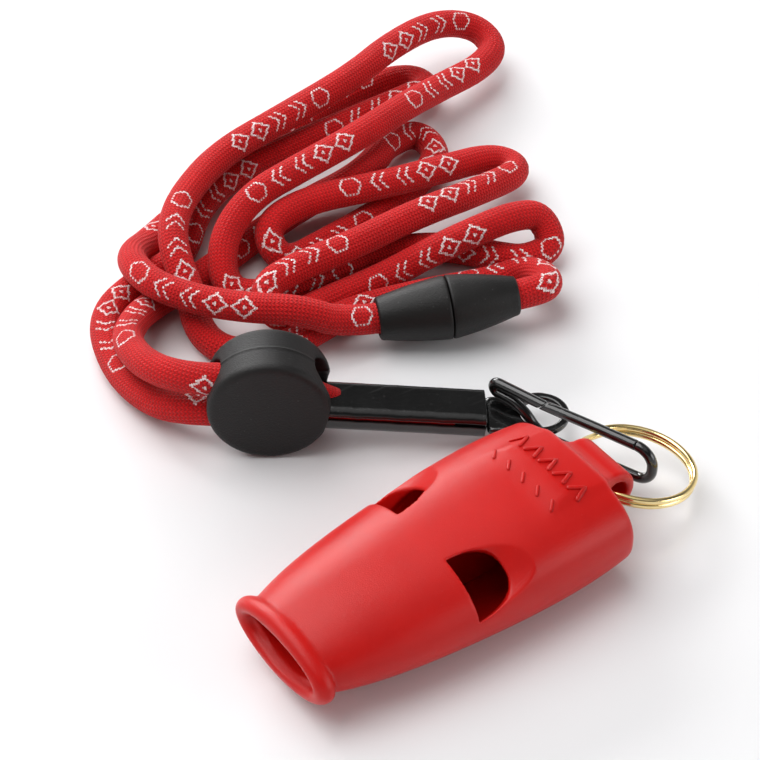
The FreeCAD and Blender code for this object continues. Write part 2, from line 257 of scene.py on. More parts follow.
class Reading:
    """A value that changes over a surface; arithmetic on it adds Math nodes to its tree."""

    def __init__(self, tree, socket):
        self.tree, self.socket = tree, socket

    def do(self, kind, *others, swap=False):
        node = self.tree.nodes.new("ShaderNodeMath")
        node.operation = kind
        values = [self, *others]
        if swap:
            values.reverse()
        for i, value in enumerate(values):
            if isinstance(value, Reading):
                self.tree.links.new(value.socket, node.inputs[i])
            else:
                node.inputs[i].default_value = value
        return Reading(self.tree, node.outputs[0])

    def __add__(self, other):
        return self.do("ADD", other)

    def __sub__(self, other):
        return self.do("SUBTRACT", other)

    def __rsub__(self, other):
        return self.do("SUBTRACT", other, swap=True)

    def __mul__(self, other):
        return self.do("MULTIPLY", other)

    def __truediv__(self, other):
        return self.do("DIVIDE", other)

    def size(self):
        return self.do("ABSOLUTE")

    def below(self, edge, soft):
        """One under the edge, nought over it."""
        node = self.tree.nodes.new("ShaderNodeMapRange")
        node.interpolation_type = "SMOOTHSTEP"
        node.inputs["From Min"].default_value = edge - soft
        node.inputs["From Max"].default_value = edge + soft
        node.inputs["To Min"].default_value = 1
        node.inputs["To Max"].default_value = 0
        self.tree.links.new(self.socket, node.inputs["Value"])
        return Reading(self.tree, node.outputs["Result"])


def shader_group(name, inputs, outputs):
    """An empty shader group with its sockets; returns the tree, its inputs by name and its end node."""
    tree = bpy.data.node_groups.new(name, "ShaderNodeTree")
    for label, value in inputs.items():
        kind = "NodeSocketVector" if value is None else "NodeSocketFloat"
        socket = tree.interface.new_socket(label, in_out="INPUT", socket_type=kind)
        if value is not None:
            socket.default_value = value
    for label in outputs:
        tree.interface.new_socket(label, in_out="OUTPUT", socket_type="NodeSocketFloat")
    start = tree.nodes.new("NodeGroupInput")
    end = tree.nodes.new("NodeGroupOutput")
    return tree, {label: Reading(tree, start.outputs[label]) for label in inputs}, end


def noise(tree, vector, scale, detail=2.0, rough=0.5):
    node = tree.nodes.new("ShaderNodeTexNoise")
    tree.links.new(vector.socket, node.inputs["Vector"])
    for label, value in (("Scale", scale), ("Detail", detail), ("Roughness", rough)):
        if isinstance(value, Reading):
            tree.links.new(value.socket, node.inputs[label])
        else:
            node.inputs[label].default_value = value
    return Reading(tree, node.outputs[0])


def make_grain():
    """Fine skin of a moulding or a lacquer: a grain height and a slow change of tone."""
    sizes = {"Vector": None, "Grain per m": 5000.0, "Patch per m": 160.0}
    tree, given, end = shader_group("surface_grain", sizes, ["Height", "Tone"])
    fine = noise(tree, given["Vector"], given["Grain per m"], 3.0, 0.6)
    slow = noise(tree, given["Vector"], given["Patch per m"], 3.0, 0.55)
    tree.links.new(fine.socket, end.inputs["Height"])
    tree.links.new(slow.socket, end.inputs["Tone"])
    return tree


def make_dust():
    """Scattered specks and short hairline marks, as a mask."""
    tree, given, end = shader_group("dust_and_marks", {"Vector": None, "Specks per m": 900.0, "Edge": 0.16},
                                    ["Specks", "Marks"])
    spots = tree.nodes.new("ShaderNodeTexVoronoi")
    tree.links.new(given["Vector"].socket, spots.inputs["Vector"])
    tree.links.new(given["Specks per m"].socket, spots.inputs["Scale"])
    near = Reading(tree, spots.outputs["Distance"])
    coarse = noise(tree, given["Vector"], 260.0, 2.0)
    speck = (near - given["Edge"] * coarse).below(0.0, 0.02)
    stretch = tree.nodes.new("ShaderNodeMapping")
    stretch.inputs["Rotation"].default_value = (0.3, 0.2, 0.7)
    stretch.inputs["Scale"].default_value = (90, 2400, 90)
    tree.links.new(given["Vector"].socket, stretch.inputs["Vector"])
    streak = noise(tree, Reading(tree, stretch.outputs[0]), 1.0, 2.0)
    tree.links.new(speck.socket, end.inputs["Specks"])
    tree.links.new((1 - streak).below(0.33, 0.03).socket, end.inputs["Marks"])
    return tree


def add_group(tree, group, coordinates, **values):
    node = tree.nodes.new("ShaderNodeGroup")
    node.node_tree = group
    tree.links.new(coordinates, node.inputs["Vector"])
    for label, value in values.items():
        node.inputs[label.replace("_", " ")].default_value = value
    return node


def new_material(name):
    material = bpy.data.materials.new(name)
    material.use_nodes = True
    tree = material.node_tree
    where = tree.nodes.new("ShaderNodeTexCoord")
    return material, tree, tree.nodes["Principled BSDF"], where


def mix_colour(tree, share, first, second):
    node = tree.nodes.new("ShaderNodeMix")
    node.data_type = "RGBA"
    if isinstance(share, Reading):
        tree.links.new(share.socket, node.inputs[0])
    else:
        node.inputs[0].default_value = share
    for socket, value in ((node.inputs[6], first), (node.inputs[7], second)):
        if isinstance(value, tuple):
            socket.default_value = (*value, 1)
        else:
            tree.links.new(value, socket)
    return node.outputs[2]


def add_bump(tree, shader, height, distance, strength=1.0):
    node = tree.nodes.new("ShaderNodeBump")
    node.inputs["Strength"].default_value = strength
    node.inputs["Distance"].default_value = distance
    tree.links.new(height.socket, node.inputs["Height"])
    tree.links.new(node.outputs["Normal"], shader.inputs["Normal"])


def plain_finish(name, light, dark, rough, rough_swing, grain, depth, specks=0.0, metallic=0.0, patch=160.0,
                 marks=0.0, **settings):
    """A moulded, lacquered or plated finish with grain, patches of tone, specks and hairline marks."""
    material, tree, shader, where = new_material(name)
    grain_node = add_group(tree, GRAIN, where.outputs["Object"], Grain_per_m=grain, Patch_per_m=patch)
    tone = Reading(tree, grain_node.outputs["Tone"])
    height = Reading(tree, grain_node.outputs["Height"])
    share = ((tone - 0.5) * 2.2 + 0.5).do("MAXIMUM", 0.0).do("MINIMUM", 1.0)
    colour = mix_colour(tree, share, dark, light)
    roughness = (tone - 0.5) * rough_swing + rough
    if specks or marks:
        dust = add_group(tree, DUST, where.outputs["Object"])
        speck = Reading(tree, dust.outputs["Specks"])
        mark = Reading(tree, dust.outputs["Marks"])
        paler = tuple(min(1.0, c * 0.6 + 0.25) for c in light)
        colour = mix_colour(tree, speck * specks + mark * marks, colour, paler)
        roughness = roughness + speck * (specks * 0.6) + mark * (marks * 0.8)
    tree.links.new(colour, shader.inputs["Base Color"])
    tree.links.new(roughness.socket, shader.inputs["Roughness"])
    add_bump(tree, shader, height, depth)
    shader.inputs["Metallic"].default_value = metallic
    for label, value in settings.items():
        shader.inputs[label.replace("_", " ")].default_value = value
    return material


GRAIN = make_grain()
DUST = make_dust()

# ---------------------------------------------------------------- finishes

whistle_red = plain_finish("whistle_red_plastic", (0.55, 0.0055, 0.0035), (0.50, 0.004, 0.003), 0.34, 0.06,
                           grain=7000.0, depth=0.00003, specks=0.04,
                           Subsurface_Weight=0.3, Subsurface_Scale=0.0025, Specular_IOR_Level=0.3)
ring_gold = plain_finish("pale_gold_plate", (0.95, 0.77, 0.40), (0.88, 0.66, 0.28), 0.14, 0.08,
                         grain=3500.0, depth=0.000012, metallic=1.0, marks=0.15)
wire_black = plain_finish("black_coated_wire", (0.006, 0.006, 0.006), (0.003, 0.003, 0.003), 0.14, 0.08,
                          grain=2600.0, depth=0.00003, specks=0.08, marks=0.04, Coat_Weight=0.5)
sleeve_black = plain_finish("black_lacquered_sleeve", (0.004, 0.004, 0.004), (0.002, 0.002, 0.002), 0.18, 0.1,
                            grain=2200.0, depth=0.00004, specks=0.08, marks=0.04, Coat_Weight=0.4)
slider_black = plain_finish("matt_black_slider", (0.0075, 0.0062, 0.0062), (0.005, 0.0043, 0.0043), 0.5, 0.12,
                            grain=4200.0, depth=0.00007, specks=0.08, Specular_IOR_Level=0.32)
clasp_black = plain_finish("matt_black_clasp", (0.007, 0.0058, 0.0055), (0.0046, 0.004, 0.0038), 0.48, 0.12,
                           grain=4200.0, depth=0.00006, specks=0.08, Specular_IOR_Level=0.32)


STITCH_ALONG = 0.24
STITCH_AROUND = 0.3
MARK_PITCH = 3.9
MARK_CELLS = 8.0


def make_knit():
    """Knitted rows of a round cord, painted shade in the creases between its stitches, and its white marks,
    from a map in millimetres (along, around).
    """
    tree, given, end = shader_group("cord_knit", {"Vector": None, "Row mm": 0.5, "Column mm": 0.55},
                                    ["Height", "Shade", "Motif"])
    split = tree.nodes.new("ShaderNodeSeparateXYZ")
    tree.links.new(given["Vector"].socket, split.inputs[0])
    along = Reading(tree, split.outputs[0])
    around = Reading(tree, split.outputs[1])
    column = around / given["Column mm"]
    lean = (column.do("FRACT") - 0.5).size()
    row = (along / given["Row mm"] + lean * 1.1).do("FRACT")
    stitch = (row - 0.5).size()
    height = (1 - stitch * 2.0).do("POWER", 0.6) * (1 - lean * 1.5)
    tree.links.new(height.socket, end.inputs["Height"])
    # Shade: painted shade that rises toward the edges of each stitch and each column, in the knit's creases.
    tree.links.new((stitch * 1.3 + lean * 0.7).socket, end.inputs["Shade"])

    stitch_row = (along / STITCH_ALONG).do("FLOOR")
    stitched_along = stitch_row * STITCH_ALONG
    stitched_around = ((around / STITCH_AROUND + stitch_row * 0.5).do("FLOOR") * STITCH_AROUND
                       - stitch_row * (STITCH_AROUND / 2))
    cell = (stitched_along / MARK_PITCH).do("FLOOR")
    kind = (cell / MARK_CELLS).do("FRACT") * MARK_CELLS
    x = stitched_along - (cell + 0.5) * MARK_PITCH
    y = stitched_around
    hexagon = (x.size() * 0.866 + y.size() * 0.5).do("MAXIMUM", y.size()) - 1.35
    hexagon = hexagon.size().below(0.12, 0.04)
    arrow = x - y.size() * 0.75
    chevron = ((arrow + 0.9).size().do("MINIMUM", (arrow - 0.35).size())).below(0.14, 0.04)
    chevron = chevron * y.size().below(1.45, 0.05)
    diamond = ((x.size() + y.size() - 1.5).size().do("MINIMUM", x.size() + y.size())).below(0.22, 0.05)
    is_hexagon = kind.below(0.5, 0.1)
    is_chevron = (kind - 1.5).size().below(1.0, 0.1)
    is_diamond = (kind - 3.5).size().below(1.0, 0.1)
    motif = hexagon * is_hexagon + chevron * is_chevron + diamond * is_diamond
    ragged = noise(tree, given["Vector"], 3.5, 1.0)
    motif = motif * (1 - ragged).below(0.66, 0.03)
    tree.links.new(motif.do("MINIMUM", 1.0).socket, end.inputs["Motif"])
    return tree


KNIT = make_knit()


def make_cord_finish():
    material, tree, shader, where = new_material("red_knitted_cord")
    knit = add_group(tree, KNIT, where.outputs["UV"])
    grain = add_group(tree, GRAIN, where.outputs["Object"], Grain_per_m=6000.0, Patch_per_m=220.0)
    # The knit's shade output is painted shade in the creases between stitches. It darkens both the red and
    # the white.
    painted_crease_shade = Reading(tree, knit.outputs["Shade"])
    tone = Reading(tree, grain.outputs["Tone"])
    fibre = Reading(tree, grain.outputs["Height"])
    motif = Reading(tree, knit.outputs["Motif"])
    # Red: darker in the creases as painted shade, and varied at random by tone and fibre.
    red = mix_colour(tree, (painted_crease_shade * 1.1 + (tone - 0.5) * 0.5 + (fibre - 0.5) * 0.5).do("MINIMUM", 1.0)
                     .do("MAXIMUM", 0.0), (0.76, 0.006, 0.008), (0.34, 0.002, 0.003))
    # White marks: pale on the stitches, with a pinkish painted shade in the creases.
    white = mix_colour(tree, painted_crease_shade.do("MINIMUM", 1.0), (0.96, 0.90, 0.90), (0.78, 0.52, 0.52))
    colour = mix_colour(tree, motif, red, white)
    tree.links.new(colour, shader.inputs["Base Color"])
    roughness = fibre * 0.2 + 0.62
    tree.links.new(roughness.socket, shader.inputs["Roughness"])
    height = Reading(tree, knit.outputs["Height"]) + fibre * 0.5 + motif * 0.4
    add_bump(tree, shader, height, 0.00017)
    shader.inputs["Sheen Weight"].default_value = 0.1
    shader.inputs["Sheen Roughness"].default_value = 0.45
    shader.inputs["Sheen Tint"].default_value = (1.0, 0.62, 0.6, 1)
    shader.inputs["Specular IOR Level"].default_value = 0.25
    shader.inputs["Subsurface Weight"].default_value = 0.08
    shader.inputs["Subsurface Scale"].default_value = 0.0008
    return material


cord_red = make_cord_finish()

# ---------------------------------------------------------------- cords

CORD_R = 2.1 * MM
TOWARD_FACE = np.array([-0.44, -0.585, 0.68])

# Each cord from the sleeve to its half of the clasp, in metres.
CORD_LOWER = [
    (0.0062, 0.0302, 0.0051), (0.0032, 0.033, 0.0053), (-0.0025, 0.0369, 0.0052), (-0.0083, 0.0411, 0.0053),
    (-0.011, 0.0475, 0.0032), (-0.0108, 0.057, 0.0021), (-0.0068, 0.0672, 0.0021), (0.002, 0.0703, 0.0021),
    (0.0095, 0.071, 0.0021), (0.015, 0.0762, 0.0042), (0.024, 0.08, 0.0043), (0.036, 0.0798, 0.0044),
    (0.046, 0.0795, 0.0044), (0.0545, 0.0796, 0.004), (0.0608, 0.0806, 0.0029), (0.0604, 0.0862, 0.0021),
    (0.051, 0.088, 0.0021), (0.042, 0.087, 0.0021), (0.03, 0.0846, 0.0021), (0.018, 0.0805, 0.0021),
    (0.0075, 0.0765, 0.0021), (0.0018, 0.0725, 0.0051), (-0.0003, 0.0675, 0.007), (0.0, 0.0625, 0.0072),
    (0.0032, 0.0565, 0.0072), (0.0075, 0.0512, 0.0074), (0.0125, 0.0467, 0.0076), (0.0175, 0.0438, 0.0044),
    (0.0252, 0.0401, 0.0048),
]
CORD_UPPER = [
    (0.0069, 0.0312, 0.0065), (0.0049, 0.0322, 0.008), (0.0023, 0.0336, 0.0107), (-0.0025, 0.0369, 0.0108),
    (-0.0083, 0.0411, 0.0107), (-0.011, 0.0475, 0.0094), (-0.0095, 0.056, 0.0068), (-0.005, 0.0612, 0.0047),
    (0.0005, 0.065, 0.0021), (0.009, 0.0658, 0.0021), (0.02, 0.0685, 0.0021), (0.029, 0.069, 0.0034),
    (0.036, 0.068, 0.0046), (0.042, 0.0698, 0.0044), (0.046, 0.0726, 0.0038), (0.0526, 0.0734, 0.0028),
    (0.0524, 0.0676, 0.0021), (0.046, 0.0644, 0.0021), (0.038, 0.0622, 0.0021), (0.028, 0.0615, 0.0021),
    (0.0196, 0.061, 0.0021), (0.0194, 0.0658, 0.0056), (0.027, 0.0664, 0.0066), (0.038, 0.0628, 0.0064),
    (0.048, 0.0622, 0.0048), (0.0574, 0.0612, 0.0036), (0.0586, 0.0558, 0.0036), (0.049, 0.0548, 0.005),
    (0.038, 0.0548, 0.0063), (0.026, 0.0546, 0.0064), (0.018, 0.0554, 0.0064), (0.0116, 0.055, 0.0062),
    (0.0118, 0.051, 0.0024), (0.02, 0.0512, 0.0021), (0.029, 0.0502, 0.0024), (0.037, 0.0486, 0.0046),
    (0.0438, 0.0466, 0.0065), (0.0486, 0.0456, 0.0069), (0.0524, 0.0446, 0.0058), (0.052, 0.041, 0.0026),
    (0.0476, 0.0416, 0.0021), (0.0452, 0.0438, 0.0021), (0.04, 0.051, 0.0021), (0.033, 0.0548, 0.0021),
    (0.022, 0.0556, 0.0021), (0.014, 0.057, 0.0021), (0.0098, 0.061, 0.0024), (0.0128, 0.0664, 0.0062),
    (0.02, 0.0696, 0.0086), (0.029, 0.0696, 0.0096), (0.04, 0.0706, 0.0096), (0.05, 0.0735, 0.0084),
    (0.06, 0.0768, 0.0058), (0.0685, 0.0784, 0.0046), (0.0736, 0.081, 0.0046), (0.0734, 0.086, 0.006),
    (0.0674, 0.0882, 0.0078), (0.058, 0.0868, 0.0085), (0.048, 0.0834, 0.0088), (0.034, 0.0814, 0.0088),
    (0.022, 0.08, 0.0087), (0.0125, 0.0753, 0.0085), (0.0078, 0.071, 0.0081), (0.0056, 0.0665, 0.0065),
    (0.0048, 0.062, 0.0038), (0.0025, 0.057, 0.0021), (0.0026, 0.0515, 0.0021), (0.0065, 0.0476, 0.0021),
    (0.013, 0.047, 0.0021), (0.021, 0.0478, 0.0021), (0.032, 0.0444, 0.0021), (0.0406, 0.0408, 0.0021),
    (0.0452, 0.0388, 0.0034), (0.0452, 0.0338, 0.005), (0.0422, 0.03185, 0.0058), (0.0354, 0.03514, 0.0054),
]


def cord_line(name, route):
    """The smooth line through a cord's route, as points close together."""
    curve = bpy.data.curves.new(name, "CURVE")
    curve.dimensions = "3D"
    spline = curve.splines.new("NURBS")
    spline.points.add(len(route) - 1)
    for point, place in zip(spline.points, route):
        point.co = (*place, 1)
    spline.order_u = 3
    spline.use_endpoint_u = True
    spline.resolution_u = 24
    holder = bpy.data.objects.new(name, curve)
    bpy.context.scene.collection.objects.link(holder)
    bpy.context.view_layer.update()
    line = bpy.data.meshes.new_from_object(holder)
    points = np.array([v.co for v in line.vertices])
    bpy.data.objects.remove(holder)
    bpy.data.meshes.remove(line)
    return points


def even_points(points, step):
    along = np.r_[0, np.cumsum(np.linalg.norm(np.diff(points, axis=0), axis=1))]
    even = np.linspace(0, along[-1], int(along[-1] / step) + 1)
    return np.stack([np.interp(even, along, column) for column in points.T], 1), even


def smoothed(values, width):
    """Values averaged along the line, with the ends held."""
    reach = int(3 * width)
    weight = np.exp(-0.5 * (np.arange(-reach, reach + 1) / width) ** 2)
    weight /= weight.sum()
    return np.convolve(np.pad(values, reach, mode="edge"), weight, mode="valid")


def cord_tube(name, route, seed):
    """A knitted cord along its route, with its map in millimetres: along, around."""
    step, sides = 0.5 * MM, 40
    facing_reach, drift_reach, drift = 24, 40, 2.6
    centres, along = even_points(cord_line(name + "_line", route), step)
    ahead = np.gradient(centres, axis=0)
    ahead /= np.linalg.norm(ahead, axis=1)[:, None]
    across, side = np.zeros_like(centres), np.array([0.3, 0.5, 0.8])
    for i, t in enumerate(ahead):
        side = side - t * (side @ t)
        side = side / np.linalg.norm(side)
        across[i] = side
    over = np.cross(ahead, across)
    wanted = np.unwrap(np.arctan2(over @ TOWARD_FACE, across @ TOWARD_FACE))
    random = np.random.default_rng(seed)
    roll = smoothed(wanted, facing_reach) + smoothed(random.normal(0, 1, len(along)), drift_reach) * drift
    across, over = (np.cos(roll)[:, None] * across + np.sin(roll)[:, None] * over,
                    np.cos(roll)[:, None] * over - np.sin(roll)[:, None] * across)

    bend = np.gradient(ahead, axis=0) / step
    bend = np.stack([smoothed(bend[:, k], 3) for k in range(3)], 1)
    turn = np.arange(sides + 1) * 2 * math.pi / sides
    outward = np.cos(turn)[None, :, None] * across[:, None] + np.sin(turn)[None, :, None] * over[:, None]
    inner = np.clip((outward * bend[:, None]).sum(2) * CORD_R, -1, 1)
    swell = smoothed(random.normal(0, 1, len(along)), 10) * 0.10
    radius = CORD_R * (1 + swell[:, None] * 0.25 - 0.10 * np.maximum(inner, 0) ** 1.5)
    pleats = np.sin(along / MM * 2 * math.pi / 1.5 + random.uniform(0, 6))[:, None]
    radius = radius + 0.09 * MM * pleats * np.clip(inner - 0.25, 0, 0.6) / 0.6
    squeeze = 0.56 + 0.44 * ramp(along / MM, 4.5, 10.0)
    ring_points = centres[:, None] + outward * (radius * squeeze[:, None])[..., None]

    n = len(centres)
    points = ring_points[:, :-1].reshape(-1, 3)
    points = np.vstack([points, centres[:1], centres[-1:]])
    points[:, 2] = np.maximum(points[:, 2], 0.02 * MM)
    faces, map_points = [], []
    for i in range(n - 1):
        for k in range(sides):
            m = (k + 1) % sides
            faces.append((i * sides + k, i * sides + m, (i + 1) * sides + m, (i + 1) * sides + k))
            a0, a1 = along[i] / MM, along[i + 1] / MM
            signed = turn[k] - math.pi * 2 if turn[k] > math.pi - 1e-6 else turn[k]
            u0 = signed * CORD_R / MM
            u1 = u0 + 2 * math.pi / sides * CORD_R / MM
            map_points += [(a0, u0), (a0, u1), (a1, u1), (a1, u0)]
    for k in range(sides):
        m = (k + 1) % sides
        faces.append((n * sides, m, k))
        faces.append((n * sides + 1, (n - 1) * sides + k, (n - 1) * sides + m))
        map_points += [(-0.5, 0)] * 3 + [(-0.5, 0)] * 3
    piece = mesh_piece(name, points / MM, faces, cord_red)
    layer = piece.data.uv_layers.new(name="cord_map")
    layer.data.foreach_set("uv", np.array(map_points, np.float32).ravel())
    return piece, centres, along[-1]


cord_lower, lower_path, lower_length = cord_tube("cord_lower_knit", CORD_LOWER, 3)
cord_upper, upper_path, upper_length = cord_tube("cord_upper_knit", CORD_UPPER, 8)
settle(cord_lower, "lanyard", "cord_weave", "cord_lower")
settle(cord_upper, "lanyard", "cord_weave", "cord_upper")

# ---------------------------------------------------------------- whistle

BODY_MID_Z = 6.5
REAR_X = 21.0
WALL = 1.5
LUG_HALF_WIDTH = 4.2
HOLE_X = 24.1
BODY_X = (-22.4, -17.0, -9.0, 0.0, 9.0, 17.0, 21.0)
HALF_WIDTH = np.polyfit(BODY_X, (7.9, 9.5, 11.0, 11.8, 12.1, 12.1, 11.6), 4)
HALF_HEIGHT = np.polyfit(BODY_X, (4.4, 5.6, 6.6, 7.0, 7.0, 6.8, 6.1), 4)
WINDOW_FRONT_X = -3.2
WINDOW_LEAN = math.radians(36)
WINDOW_Y = 8.5
WINDOW_UP = 4.5
LUG_HOLE_R = 2.0
SKIN_STEP = 0.26


def body_section(x):
    """Half width, half height and squareness of the whistle's section."""
    x = np.clip(x, -24, REAR_X + 2)
    return np.polyval(HALF_WIDTH, x), np.polyval(HALF_HEIGHT, x), 2.0 + 0.45 * ramp(x, -16, 14)


def window(x, y, z, side):
    """One side window: a sharp front edge, a round-backed hole and a dished rim behind it."""
    across, up = y - side * WINDOW_Y, z - BODY_MID_Z - WINDOW_UP
    along = x - WINDOW_FRONT_X
    v = across * math.cos(WINDOW_LEAN) - side * up * math.sin(WINDOW_LEAN)
    w = side * across * math.sin(WINDOW_LEAN) + up * math.cos(WINDOW_LEAN)
    hole = np.maximum(oval(np.maximum(along, 0), v, 6.0, 4.1, 2.6), -6 - w)
    dish = ((np.abs(along) / 7.9) ** 2.6 + (np.abs(v) / 5.0) ** 2.6) ** (1 / 2.6)
    rim = (-1.5 + 1.9 * dish ** 1.6 - w) * 0.85
    rim = np.maximum(rim, oval(np.maximum(along, 0), v, 9.1, 5.6, 2.6))
    return np.maximum(soft_or(hole, rim, 0.2), -along)


def whistle_solid(x, y, z):
    half_width, half_height, power = body_section(x)
    up = z - BODY_MID_Z
    body = oval(y, up, half_width, half_height, power)
    body = soft_and(body, x - REAR_X, 1.0)
    body = soft_and(body, -23.3 - x, 0.3)
    t = np.clip((x - 15.0) / (HOLE_X - 15.0), 0, 1)
    tongue = np.hypot(x - 15.0 - t * (HOLE_X - 15.0), up - 2.4 * (1 - t)) - 3.3
    tongue = soft_and(tongue, np.abs(y) - LUG_HALF_WIDTH, 0.7)
    body = soft_or(body, tongue, 3.2)
    bead = np.hypot(oval(y, up, 7.9, 3.4), x + 23.3) - 1.3
    body = soft_or(body, bead, 0.45)
    body = soft_and(body, -z, 0.5)

    hollow = oval(y, up, half_width - WALL, half_height - WALL, power)
    hollow = soft_and(soft_and(hollow, x - REAR_X + WALL, 0.4), -20.5 - x, 0.3)
    hollow = np.maximum(hollow, 1.2 - z)
    flare = 0.3 * np.clip(-23.2 - x, 0, 3)
    lens = np.maximum(np.hypot(y, up + 6.94), np.hypot(y, up - 6.94)) - 9.44 - flare
    lens = np.maximum(lens, x + 20.0)
    body = soft_cut(body, soft_or(hollow, lens, 0.2), 0.25)
    body = soft_cut(body, np.hypot(x - HOLE_X, up) - LUG_HOLE_R, 0.35)
    for side in (1, -1):
        body = soft_cut(body, window(x, y, z, side), 0.12)
    return body


def make_shells():
    """Both shells as one skin, because their joint can't be seen on the outside."""
    points, faces = skin(whistle_solid, (-25.4, -13.3, -0.5), (28.2, 13.3, 14.4), SKIN_STEP)
    shells = mesh_piece("whistle_shells", points, faces, whistle_red)
    settle(shells, "whistle", "whistle_plastic", "whistle_top_shell", "whistle_bottom_shell")


def body_top(x, y):
    """Heights of the whistle's back over points, found by halving."""
    half_width, half_height, power = body_section(x)
    inside = np.clip(1 - (np.abs(y) / half_width) ** power, 0, 1)
    smooth_top = BODY_MID_Z + half_height * inside ** (1 / power)
    low, high = smooth_top - 0.3, smooth_top + 1.5
    for _ in range(16):
        middle = (low + high) / 2
        solid = whistle_solid(x, y, middle) < 0
        low = np.where(solid, middle, low)
        high = np.where(solid, high, middle)
    return low


def raised_bar(line, width, height):
    """A rounded bar that follows a line of (x, y) points on the whistle's back."""
    line, _ = even_points(np.array(line, float), 0.15)
    ahead = np.gradient(line, axis=0)
    ahead /= np.linalg.norm(ahead, axis=1)[:, None]
    side = np.stack([-ahead[:, 1], ahead[:, 0]], 1)
    profile = [(-0.5, -0.35), (-0.5, 0.35), (-0.42, 0.8), (-0.28, 1.0), (0.28, 1.0), (0.42, 0.8), (0.5, 0.35),
               (0.5, -0.35)]
    places, lifts, n = [], [], len(profile)
    for i, (p, s) in enumerate(zip(line, side)):
        end = min(i, len(line) - 1 - i) * 0.15
        shrink = math.sqrt(max(0.04, 1 - max(0.0, 1 - end / (width / 2)) ** 2))
        for across, up in profile:
            places.append(p + s * across * width * shrink)
            lifts.append(height * up * (shrink if up > 0 else 1))
    places = np.array(places)
    points = np.column_stack([places, body_top(*places.T) + lifts])
    faces = [(i * n + k, i * n + (k + 1) % n, (i + 1) * n + (k + 1) % n, (i + 1) * n + k)
             for i in range(len(line) - 1) for k in range(n)]
    faces += [tuple(range(n))[::-1], tuple((len(line) - 1) * n + k for k in range(n))]
    return points, faces


def make_motif():
    """Raised marks across the whistle's back: a row of arrowheads over a row of short bars."""
    points, faces = [], []

    def add(line, width, height):
        more, quads = raised_bar(line, width, height)
        faces.extend(tuple(len(points) + i for i in f) for f in quads)
        points.extend(more)

    for step in range(-2, 3):
        y = 2.75 * step
        add([(15.4, y - 1.0), (17.6, y), (15.4, y + 1.0)], 0.5, 0.28)
        add([(11.6, y - 0.75), (12.9, y + 0.55)], 0.42, 0.22)
    marks = facing_out(mesh_piece("whistle_raised_marks", points, faces, whistle_red))
    settle(marks, "whistle", "whistle_plastic")


make_shells()
make_motif()
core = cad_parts["whistle_core"]
core.data.materials.clear()
core.data.materials.append(whistle_red)

# ---------------------------------------------------------------- split ring

RING_CENTRE = (30.736, -0.6, 4.941)
RING_TILT = math.radians(12)
RING_R = 7.5
RING_WIRE_R = 0.425


def make_ring():
    """One wire wound twice round, stepping down a coil before it comes back to its start."""
    step = math.radians(1.5)
    sweep = np.arange(0, math.radians(694), step)
    angle = math.radians(86) - sweep
    level = 0.4 - 0.8 * ramp(sweep, math.radians(318), math.radians(356))
    radius = RING_R + 0.05 * np.sin(sweep * 0.5)
    flat = np.stack([radius * np.cos(angle), radius * np.sin(angle), level], 1)
    tilt = np.array([[math.cos(RING_TILT), 0, -math.sin(RING_TILT)], [0, 1, 0],
                     [math.sin(RING_TILT), 0, math.cos(RING_TILT)]])
    wire = np.full(len(sweep), RING_WIRE_R)
    wire[[0, -1]] = 0.3
    wire[[1, -2]] = 0.4
    points, faces = tube(flat @ tilt + np.array(RING_CENTRE), wire, 24)
    settle(mesh_piece("split_ring_wire", points, faces, ring_gold), "ring", "gold_ring", "split_ring")


make_ring()

# ---------------------------------------------------------------- hook

HOOK_START = (25.2, 21.3, 0.0)
HOOK_TURN = -75.0
WIRE_R = 0.7


def softened(piece, width, angle=35):
    """Rounds a piece's sharp edges for good."""
    bevel = piece.modifiers.new("edge", "BEVEL")
    bevel.width = width * MM
    bevel.segments = 3
    bevel.limit_method = "ANGLE"
    bevel.angle_limit = math.radians(angle)
    bpy.context.view_layer.update()
    mesh = bpy.data.meshes.new_from_object(piece.evaluated_get(bpy.context.evaluated_depsgraph_get()))
    piece.modifiers.clear()
    piece.data = mesh
    return piece


def hook_leg(name, corners, radii, slant_start=0.0, slant_end=0.0):
    """A bent wire in the hook's upright plane, with its ends cut square or on a slant."""
    line = rounded_line([(s, 0, z) for s, z in corners], radii, 0.2)
    points, faces = tube(line, WIRE_R, 28)
    run = np.linalg.norm(np.diff(line, axis=0), axis=1).mean()
    for ring in range(8):
        for first, slant in ((ring * 28, slant_start), ((len(line) - 1 - ring) * 28, slant_end)):
            rows = slice(first, first + 28)
            centre = points[rows].mean(0)
            points[rows, 0] += slant * (points[rows, 2] - centre[2]) * (1 - ring / 8)
    wire = mesh_piece(name, turned(points, HOOK_START, HOOK_TURN), faces, wire_black)
    return softened(wire, 0.1)


def make_hook():
    corners = [(22.3, 8.1), (24.8, 8.1), (24.8, 3.1), (12.0, 1.7), (7.6, 1.3), (4.4, 4.75), (0, 4.75),
               (0, 6.45), (7.7, 6.68)]
    bow = hook_leg("hook_wire", corners, [2.3, 2.4, 9.0, 4.6, 5.2, 0.84, 0.84], slant_end=0.93)
    settle(bow, "hook", "black_wire", "hook_frame")
    leg = hook_leg("hook_spring_leg", [(7.95, 6.72), (15.3, 7.5), (22.2, 8.1)], [40.0], slant_start=0.93)
    settle(leg, "gate", "black_wire", "hook_gate")


make_hook()

# ---------------------------------------------------------------- sleeve and eyelet

LEAD_TURN = -35.0
SLEEVE_LENGTH = 21.1
SLEEVE_AT = (5.152, 31.642, 5.78)
SLEEVE_DROP = 6.0
SLIT_Z = 0.62
SLEEVE_HALF_WIDTH = 3.3
SLEEVE_HALF_HEIGHT = 1.8
SHEET = 0.55
TAB_R = 3.8
TAB_HOLE_R = 2.7
TAB_REACH = 7.4


